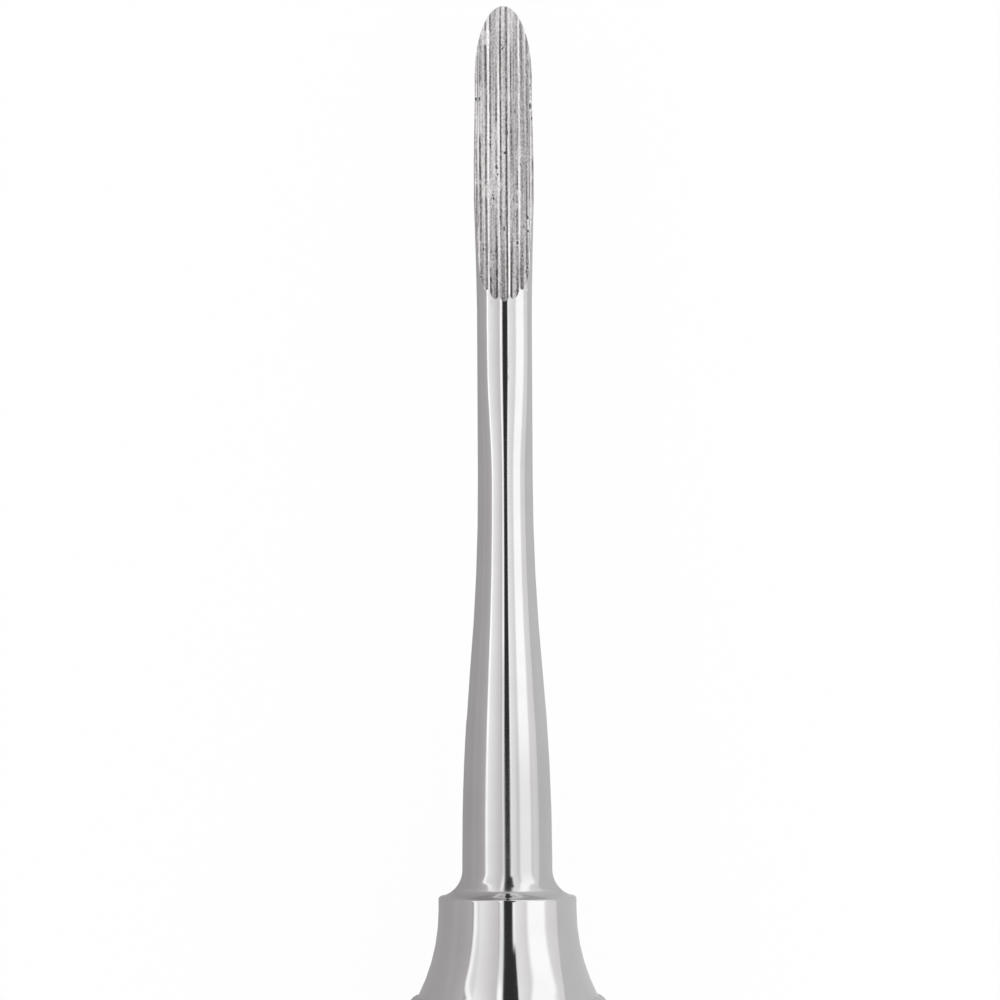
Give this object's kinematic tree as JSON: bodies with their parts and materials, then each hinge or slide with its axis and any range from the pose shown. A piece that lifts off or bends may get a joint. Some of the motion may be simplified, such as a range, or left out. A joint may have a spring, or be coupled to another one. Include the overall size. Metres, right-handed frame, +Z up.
{
  "type": "dental root elevator",
  "caption": "Straight dental root elevator: half-round blade with a hollow serrated face, long tapering polished shank, coved shoulder, flared neck and ribbed grip.",
  "frame": {"origin": "on the surface it lies on, below the middle of its length and on its centre line", "axes": "+Y along the tool towards the blade's tip, +Z up out of the serrated face"},
  "size_m": [0.015, 0.1504, 0.0149],
  "materials": {
    "polished_steel": "mirror-polished stainless steel, ground satin in the serrated face of the blade"
  },
  "bodies": {
    "root": {"root_elevator": "polished_steel"}
  },
  "joints": []
}
